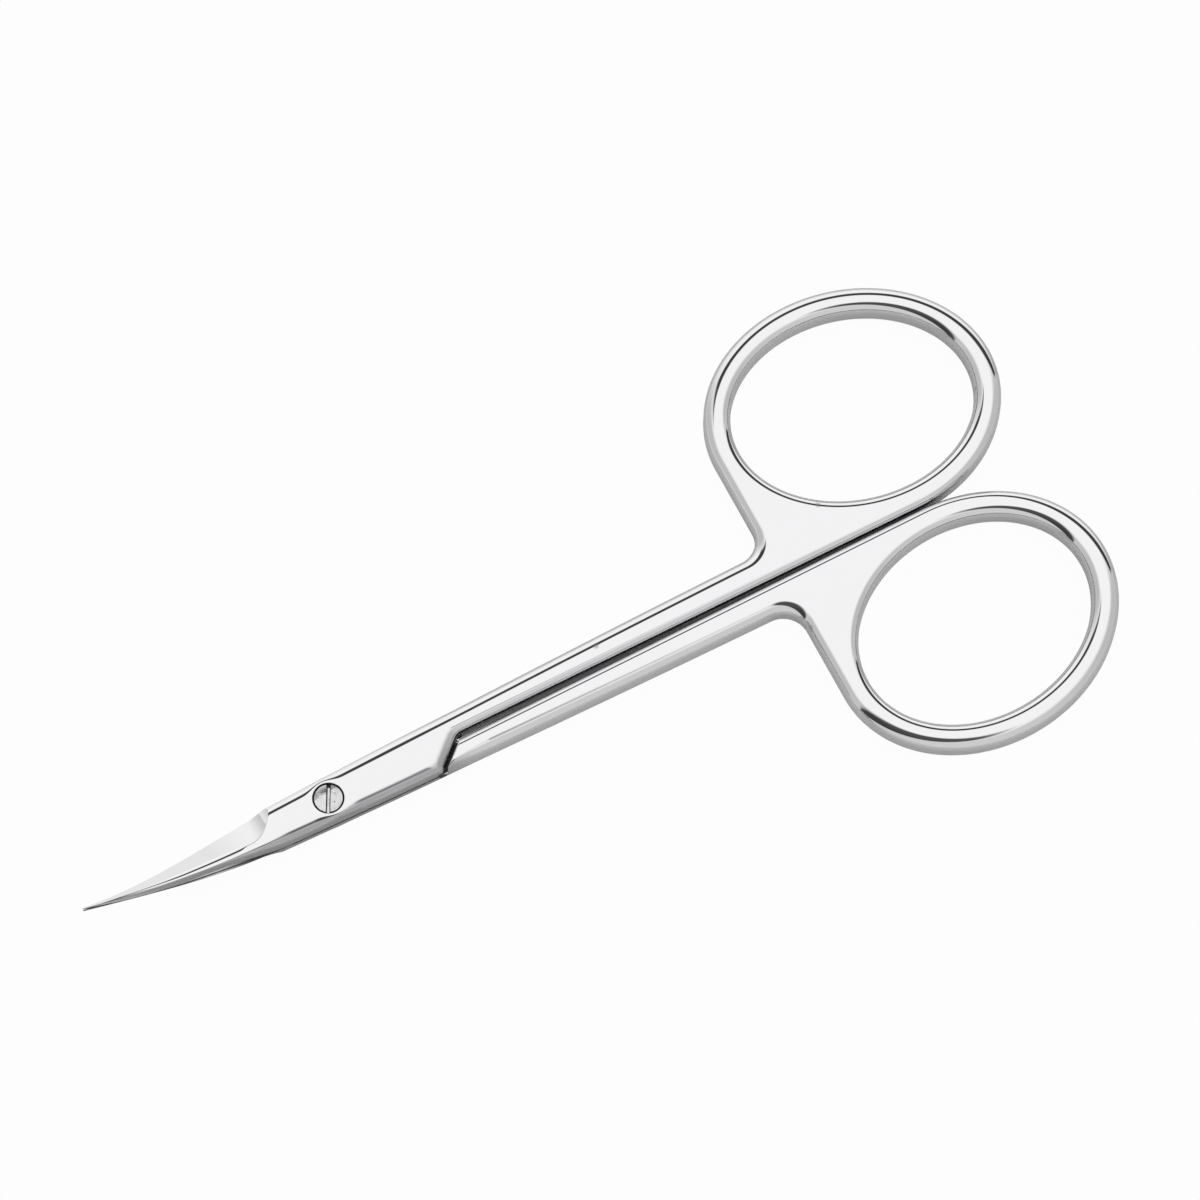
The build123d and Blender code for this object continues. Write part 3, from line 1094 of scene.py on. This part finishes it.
# %% Fine wheel lines
wheel_lines, start, end = new_group(
    "wheel_lines", {"Place": None, "Lines per metre": 5000.0, "Length": 12.0}, ("Height", "Mask")
)
calc, vector, rise, noise = nodes_in(wheel_lines)
along = vector("DOT_PRODUCT", start["Place"], (1, 0, 0))
squeezed = wheel_lines.nodes.new("ShaderNodeCombineXYZ")
wheel_lines.links.new(calc("DIVIDE", along, start["Length"]), squeezed.inputs["X"])
wheel_lines.links.new(vector("DOT_PRODUCT", start["Place"], (0, 1, 0)), squeezed.inputs["Y"])
wheel_lines.links.new(vector("DOT_PRODUCT", start["Place"], (0, 0, 1)), squeezed.inputs["Z"])
lines = noise(squeezed.outputs[0], start["Lines per metre"], 3.0, 0.6)
wheel_lines.links.new(lines, end["Height"])
wheel_lines.links.new(rise(lines, 0.45, 0.72), end["Mask"])

# %% [markdown]
# Fingers leave a film in broad patches, broken up finely where the skin's ridges touched. Only the
# roughness takes it up, so it shows where a bright reflection ends, as on the real steel.

# %% Film left by fingers
finger_film, start, end = new_group(
    "finger_film", {"Place": None, "Patches per metre": 160.0}, ("Mask",)
)
calc, vector, rise, noise = nodes_in(finger_film)
patches = rise(noise(start["Place"], start["Patches per metre"], 3.0, 0.55), 0.42, 0.68)
broken = noise(start["Place"], calc("MULTIPLY", start["Patches per metre"], 9.0), 2.0)
finger_film.links.new(calc("MULTIPLY", patches, calc("MULTIPLY_ADD", broken, 0.8, 0.4)), end["Mask"])

# %% [markdown]
# Worn steel has a few small pits. Voronoi cells give one round spot each, and a share of the cells
# is chosen by the random colour that each cell has, so most of the surface stays clean.

# %% Small pits in worn steel
worn_pits, start, end = new_group(
    "worn_pits", {"Place": None, "Pits per metre": 2200.0, "Share": 0.1}, ("Mask",)
)
calc, vector, rise, noise = nodes_in(worn_pits)
cells = worn_pits.nodes.new("ShaderNodeTexVoronoi")
worn_pits.links.new(start["Place"], cells.inputs["Vector"])
worn_pits.links.new(start["Pits per metre"], cells.inputs["Scale"])
parts = worn_pits.nodes.new("ShaderNodeSeparateColor")
worn_pits.links.new(cells.outputs["Color"], parts.inputs[0])
chosen = calc("LESS_THAN", parts.outputs[0], start["Share"])
spot_mask = calc("SUBTRACT", 1.0, rise(cells.outputs["Distance"], 0.12, 0.3))
worn_pits.links.new(calc("MULTIPLY", chosen, spot_mask), end["Mask"])

# %% [markdown]
# Dirt and painted shade in a joint have a ragged edge. The group compares the distance with a width
# that noise makes a little larger here and smaller there, and gives 1 in the joint and 0 on steel away
# from it.

# %% Oil, dust and painted shade in a joint
joint_dirt_and_shade, start, end = new_group(
    "joint_dirt_and_shade", {"Distance": 1.0, "Width": 0.06, "Place": None}, ("Mask",)
)
calc, vector, rise, noise = nodes_in(joint_dirt_and_shade)
ragged = calc("MULTIPLY_ADD", noise(start["Place"], 1800.0, 3.0), 1.1, 0.45)
reach = calc("MULTIPLY", start["Width"], ragged)
share = calc("DIVIDE", start["Distance"], reach)
joint_dirt_and_shade.links.new(calc("SUBTRACT", 1.0, rise(share, 0.35, 1.0)), end["Mask"])
print("node groups:", sorted(group.name for group in bpy.data.node_groups))

# %% [markdown]
# ## Steel materials
# Metal takes its colour from the base colour and its picture of the room from the roughness. The
# halves are polished nearly to a mirror. Their sides, from the blades to a little past the screw, are
# belt-ground, and their base colour there is also painted darker: painted shade, most on sides that
# face -Y. The screw is duller and turned, its sides painted darker in the same way, and darker at its
# rim and in its slot, from dirt and from painted shade in those gaps. Both are made by one function
# from a few values.

# %% Mix a steel
belt_length = 40.0
bump_scale = 1e-6
ground_until, polished_from = 8.5 * mm, 13 * mm
near_shade_lean, far_shade_lean = 0.6, 0.4
side_facing, top_facing = 0.75, 0.95
belt_contrast, belt_least = 0.9, 0.35
dirt_and_shade_haze, dirt_and_shade_dulling = 0.35, 0.5


def steel(name, colour, roughness, look):
    """A steel material. look gives each effect's size and strength."""
    material = bpy.data.materials.new(name)
    material.use_nodes = True
    tree = material.node_tree
    calc, vector, rise, noise = nodes_in(tree)
    shader = tree.nodes["Principled BSDF"]
    place = tree.nodes.new("ShaderNodeTexCoord").outputs["Object"]

    def use(group, **values):
        node = tree.nodes.new("ShaderNodeGroup")
        node.node_tree = group
        tree.links.new(place, node.inputs["Place"])
        for label, value in values.items():
            socket = node.inputs[label.replace("_", " ")]
            if isinstance(value, (int, float)):
                socket.default_value = value
            else:
                tree.links.new(value, socket)
        return node.outputs

    lines = use(wheel_lines, Lines_per_metre=look["lines"], Length=look["line_length"])
    film = use(finger_film, Patches_per_metre=look["patches"])["Mask"]
    pits = use(worn_pits, Pits_per_metre=look["pits"], Share=look["pit_share"])["Mask"]
    distance = look["joint"](tree, calc, vector, rise, place)
    # The joint mask darkens the steel: dirt, and painted shade in the gaps of the joint.
    dirt_and_shade = use(joint_dirt_and_shade, Distance=distance, Width=look["dirt_and_shade_width"])["Mask"]
    dark = calc("MAXIMUM", dirt_and_shade, calc("MULTIPLY", pits, look["pit_depth"]))
    belt = use(wheel_lines, Lines_per_metre=look["side_lines"], Length=belt_length)["Height"]
    # Sides that face sideways, from the blades to a little past the screw, take the ground colour: a
    # real belt-ground finish, and also painted shade, stronger on sides that face -Y than on sides that
    # face +Y.
    facing = tree.nodes.new("ShaderNodeNewGeometry").outputs["Normal"]
    up_share = calc("ABSOLUTE", vector("DOT_PRODUCT", facing, (0, 0, 1)))
    side_share = vector("DOT_PRODUCT", facing, (0, 1, 0))
    lean = calc("ADD", calc("MULTIPLY", calc("MINIMUM", side_share, 0.0), near_shade_lean),
                calc("MULTIPLY", calc("MAXIMUM", side_share, 0.0), far_shade_lean))
    side = calc("SUBTRACT", 1.0, rise(calc("ADD", up_share, lean), side_facing, top_facing))
    along = vector("DOT_PRODUCT", place, (1, 0, 0))
    near_joint = calc("SUBTRACT", 1.0, rise(along, ground_until, polished_from))
    ground_and_shade = calc("MULTIPLY", calc("MULTIPLY", side, near_joint),
                  calc("MULTIPLY_ADD", belt, belt_contrast, belt_least, clamp=True))
    paint = (*colour, 1)  # a colour mixer has its two colours at inputs 6 and 7
    for share, other in ((ground_and_shade, look["ground_and_shade_colour"]), (dark, look["dirt_and_shade_colour"])):
        mixer = tree.nodes.new("ShaderNodeMix")
        mixer.data_type = "RGBA"
        tree.links.new(share, mixer.inputs["Factor"])
        if isinstance(paint, tuple):
            mixer.inputs[6].default_value = paint
        else:
            tree.links.new(paint, mixer.inputs[6])
        mixer.inputs[7].default_value = (*other, 1)
        paint = mixer.outputs[2]
    tree.links.new(paint, shader.inputs["Base Color"])
    shade = calc("MULTIPLY_ADD", film, look["film"], roughness)
    shade = calc("MULTIPLY_ADD", lines["Mask"], look["line_haze"], shade)
    shade = calc("MULTIPLY_ADD", ground_and_shade, look["ground_haze"], shade)
    shade = calc("MULTIPLY_ADD", dark, dirt_and_shade_haze, shade, clamp=True)
    tree.links.new(shade, shader.inputs["Roughness"])
    tree.links.new(calc("MULTIPLY_ADD", dark, -dirt_and_shade_dulling, 1.0), shader.inputs["Metallic"])
    swell = noise(place, look["swells"], 1.0)
    height = calc("MULTIPLY", lines["Height"], look["line_height"])
    height = calc("MULTIPLY_ADD", swell, look["swell_height"], height)
    height = calc("MULTIPLY_ADD", pits, -look["pit_drop"], height)
    bump = tree.nodes.new("ShaderNodeBump")
    bump.inputs["Distance"].default_value = bump_scale
    tree.links.new(height, bump.inputs["Height"])
    tree.links.new(bump.outputs[0], shader.inputs["Normal"])
    print(name, "has", len(tree.nodes), "nodes")
    return material


# %% [markdown]
# The dirt and painted shade need a distance from the joint. The halves carry it as an attribute. The
# screw is round, so its distance from the rim and from the corners of its slot is worked out from its
# place alone.

# %% Measure the distance for each steel
def from_attribute(tree, calc, vector, rise, place):
    """Distance from the joint, as it was measured on the halves."""
    node = tree.nodes.new("ShaderNodeAttribute")
    node.attribute_name = "joint_distance"
    return node.outputs["Fac"]


rim_dirt_and_shade = head_radius + 0.01
corner_dirt_and_shade = slot_half - 0.015
darkening_low, darkening_high = slot_floor + 0.02, head_edge + 0.05
end_slope, end_start = -0.5, 0.56


def from_head_rim(tree, calc, vector, rise, place):
    """Distance from the head's rim and from the corners of its slot, in millimetres."""
    flat_place = vector("MULTIPLY", place, (1 / mm, 1 / mm, 0.0))
    radius = vector("LENGTH", flat_place)
    # The dark ring round the head and the dark corners and end of the slot are painted shade in those
    # gaps, with some dirt.
    from_rim = calc("SUBTRACT", rim_dirt_and_shade, radius)
    across = calc("ABSOLUTE", vector("DOT_PRODUCT", flat_place, tuple(slot_across)))
    from_corner = calc("ABSOLUTE", calc("SUBTRACT", across, corner_dirt_and_shade))
    low = rise(vector("DOT_PRODUCT", place, (0, 0, 1 / mm)), darkening_low, darkening_high)
    along = vector("DOT_PRODUCT", flat_place, tuple(slot_along))
    from_end = calc("MULTIPLY_ADD", along, end_slope, end_start)
    from_slot = calc("ADD", low, calc("MINIMUM", from_corner, from_end))
    return calc("MAXIMUM", calc("MINIMUM", from_rim, from_slot), 0.0)


print("distances from:", from_attribute.__name__, "and", from_head_rim.__name__)

# %% [markdown]
# The two steels differ in numbers only. Counts are per metre, lengths of lines are in widths, and
# heights are in thousandths of a millimetre. The halves get faint lines, broad swells and hardly a
# pit; the screw gets short turned lines and many pits, and its face is rougher all over.

# %% Polished steel and screw steel
polished = steel("mirror_polished_steel", (0.78, 0.78, 0.79), 0.035, {
    "lines": 3500.0, "line_length": 14.0, "line_haze": 0.03, "line_height": 0.15,
    "patches": 150.0, "film": 0.045, "swells": 260.0, "swell_height": 6.0,
    "pits": 900.0, "pit_share": 0.012, "pit_depth": 0.35, "pit_drop": 2.0,
    "joint": from_attribute, "dirt_and_shade_width": 0.24, "dirt_and_shade_colour": (0.05, 0.05, 0.052),
    "side_lines": 9000.0, "ground_and_shade_colour": (0.42, 0.42, 0.43), "ground_haze": 0.10,
})
satin = steel("worn_screw_steel", (0.68, 0.68, 0.68), 0.13, {
    "lines": 16000.0, "line_length": 3.0, "line_haze": 0.18, "line_height": 4.0,
    "patches": 900.0, "film": 0.12, "swells": 1500.0, "swell_height": 14.0,
    "pits": 3200.0, "pit_share": 0.10, "pit_depth": 0.8, "pit_drop": 12.0,
    "joint": from_head_rim, "dirt_and_shade_width": 0.11, "dirt_and_shade_colour": (0.03, 0.03, 0.032),
    "side_lines": 9000.0, "ground_and_shade_colour": (0.5, 0.5, 0.5), "ground_haze": 0.05,
})

# %% [markdown]
# ## Bodies
# Each piece rides on the body that carries it and stands for one solid. The screw is threaded into
# the lower half, so it stays with it when the scissors open.

# %% Put the pieces on their bodies
for piece, body, node, material, slot in (
    (upper_half, "upper", "upper_half", polished, "polished_steel"),
    (lower_half, "lower", "lower_half", polished, "polished_steel"),
    (screw, "lower", "pivot_screw", satin, "screw_steel"),
):
    piece.data.materials.append(material)
    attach(piece, body)
    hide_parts(node)
    print(piece.name, "rides on", body)

# %% [markdown]
# ## Studio
# Polished steel has no look of its own: it shows the room. The scissors lie on white paper under a
# wide bright panel. Behind it hangs a second white wall, and the slot between the two draws the
# thin dark lines along the far edges. The camera on its stand is the dark shape in front, and it
# gives the near edges their dark accents. All of this is painted into the world by direction.

# %% Paint the studio
world = bpy.data.worlds.new("studio")
bpy.context.scene.world = world
world.use_nodes = True
tree = world.node_tree
calc, vector, rise, noise = nodes_in(tree)
direction = tree.nodes.new("ShaderNodeTexCoord").outputs["Generated"]
least_height, least_level = 0.03, 0.001
to_right = vector("DOT_PRODUCT", direction, (cos(azimuth), sin(azimuth), 0))
to_back = vector("DOT_PRODUCT", direction, (-sin(azimuth), cos(azimuth), 0))
upward = vector("DOT_PRODUCT", direction, (0, 0, 1))
level_squared = calc("SUBTRACT", 1.0, calc("MULTIPLY", upward, upward))
level = calc("SQRT", calc("MAXIMUM", level_squared, least_level))
height = calc("MAXIMUM", upward, least_height)
across = calc("DIVIDE", to_right, height)
away = calc("DIVIDE", to_back, height)

# %% Light the walls and the panel
wall_light, back_wall_light, front_light, panel_light = 0.63, 0.50, 0.14, 1.14
low_light = calc("MULTIPLY_ADD", rise(upward, 0.0, 0.25), 0.3, 0.7)
back_share = calc("DIVIDE", to_back, level)
back_wall_share = calc("MULTIPLY", rise(back_share, 0.42, 0.88), low_light)
front_share = calc("MULTIPLY", back_share, -front_light, clamp=True)
walls = calc("ADD", calc("MULTIPLY_ADD", back_wall_share, back_wall_light, wall_light), front_share)
panel_share = rise(upward, 0.70, 0.95)
sky = calc("ADD", calc("MULTIPLY", walls, calc("SUBTRACT", 1.0, panel_share)),
           calc("MULTIPLY", panel_share, panel_light))
print("walls at", wall_light, "to", wall_light + back_wall_light, "and the panel at", panel_light)

# %% [markdown]
# A thin dark line on polished steel is the mirror picture of something dark and narrow. The slot is
# drawn on a level plane above the scissors, between a near edge and a far edge that fan out to the
# right. The camera is a disc on that plane with its stand leading away, both with soft borders.

# %% Cut the slot out of the light
slot_near = rise(calc("SUBTRACT", away, calc("MULTIPLY_ADD", across, 0.35, 0.49)), -0.05, 0.05)
slot_far = rise(calc("SUBTRACT", away, calc("MULTIPLY_ADD", across, 0.45, 1.22)), -0.12, 0.12)
slot_left = rise(calc("MULTIPLY_ADD", away, 0.95, across), -0.10, 0.15)
slot_right = rise(calc("SUBTRACT", away, calc("MULTIPLY", across, 0.6)), -0.1, 0.1)
slot_share = calc("MULTIPLY", calc("MULTIPLY", slot_near, calc("SUBTRACT", 1.0, slot_far)),
                  calc("MULTIPLY", slot_left, slot_right))
slot_dark = 0.95
past_slot = calc("MULTIPLY_ADD", slot_share, -slot_dark, 1.0)
print("the slot takes away", slot_dark, "of the light")

# %% Cut the camera and its stand out of the light
stand_cos, stand_sin = -0.848, -0.530
camera_reach, camera_radius, stand_widening, camera_glow = 0.42, 0.34, 0.06, 0.08
stand_shift, stand_blur = 0.05, 0.10
from_camera = calc("ADD", away, camera_reach)
along_stand = calc("MULTIPLY_ADD", across, stand_cos, calc("MULTIPLY", from_camera, stand_sin))
beside_stand = calc("MULTIPLY_ADD", across, stand_sin, calc("MULTIPLY", from_camera, -stand_cos))
beside_stand = calc("ADD", beside_stand, -stand_shift)
down_stand = calc("MAXIMUM", along_stand, 0.0)
before_stand = calc("SUBTRACT", along_stand, down_stand)
stand_distance = calc("SQRT", calc("ADD", calc("MULTIPLY", before_stand, before_stand),
                                   calc("MULTIPLY", beside_stand, beside_stand)))
stand_width = calc("MULTIPLY_ADD", down_stand, stand_widening, camera_radius)
stand_edge = rise(calc("SUBTRACT", stand_distance, stand_width), -stand_blur, stand_blur)
past_camera = calc("MULTIPLY_ADD", stand_edge, 1 - camera_glow, camera_glow)
background = tree.nodes["Background"]
background.inputs["Color"].default_value = (1, 1, 1, 1)
light = calc("MULTIPLY", sky, calc("MULTIPLY", past_slot, past_camera))
tree.links.new(light, background.inputs["Strength"])
print("the studio has", len(tree.nodes), "nodes")

# %% [markdown]
# ## Paper
# The scissors lie on a sheet of white paper, a hair below their undersides. The camera sees it
# nearly white, and it still takes the shadow. Steel mirrors the paper close to it as grey, lit as
# it is, in the scissors' shade, and a patch behind the scissors glows for the mirror alone: a painted
# pool of light.

# %% Lay the paper
floor_reach = 8
paper_top = -0.02 * mm
paper_corners = [(x * floor_reach, y * floor_reach, paper_top)
                 for x, y in ((-1, -1), (1, -1), (1, 1), (-1, 1))]
floor_mesh = bpy.data.meshes.new("paper")
floor_mesh.from_pydata(paper_corners, [], [(0, 1, 2, 3)])
floor = bpy.data.objects.new("paper", floor_mesh)
bpy.context.scene.collection.objects.link(floor)
print("paper", 2 * floor_reach, "m wide")

# %% Give the paper its white
seen_white, shade_white, glow_behind = 0.965, 0.03, 0.95
paper = bpy.data.materials.new("white_paper")
paper.use_nodes = True
floor_mesh.materials.append(paper)
tree = paper.node_tree
tree.nodes.clear()
calc, vector, rise, noise = nodes_in(tree)
matt = tree.nodes.new("ShaderNodeBsdfPrincipled")
matt.inputs["Base Color"].default_value = (0.8, 0.8, 0.8, 1)
matt.inputs["Roughness"].default_value = 0.2
white = tree.nodes.new("ShaderNodeEmission")
path = tree.nodes.new("ShaderNodeLightPath")
seen = calc("MAXIMUM", path.outputs["Is Camera Ray"], path.outputs["Is Transmission Ray"])
place = tree.nodes.new("ShaderNodeNewGeometry").outputs["Position"]
# A patch of paper behind the scissors and past the blades glows for glossy rays only: a painted pool of
# light that the steel mirrors.
beyond = rise(vector("DOT_PRODUCT", place, (-0.35, 1, 0)), 3 * mm, 7 * mm)
by_blades = calc("SUBTRACT", 1.0, rise(vector("DOT_PRODUCT", place, (1, 0, 0)), 5 * mm, 20 * mm))
far_off = rise(vector("DOT_PRODUCT", place, (0, 1, 0)), 40 * mm, 80 * mm)
behind = calc("MULTIPLY", beyond, calc("MAXIMUM", by_blades, far_off))
mirrored_glow = calc("MULTIPLY_ADD", behind, glow_behind, shade_white)
mirrored_glow = calc("MULTIPLY", path.outputs["Is Glossy Ray"], mirrored_glow)
share = calc("MULTIPLY_ADD", seen, seen_white, mirrored_glow)
mix = tree.nodes.new("ShaderNodeMixShader")
tree.links.new(share, mix.inputs["Fac"])
tree.links.new(matt.outputs[0], mix.inputs[1])
tree.links.new(white.outputs[0], mix.inputs[2])
tree.links.new(mix.outputs[0], tree.nodes.new("ShaderNodeOutputMaterial").inputs["Surface"])
print(paper.name, "is", seen_white, "white to the camera")

# %% [markdown]
# ## Finish
# Colours are shown as they are written, with no film look.

# %% Finish
bpy.context.scene.view_settings.view_transform = "Standard"
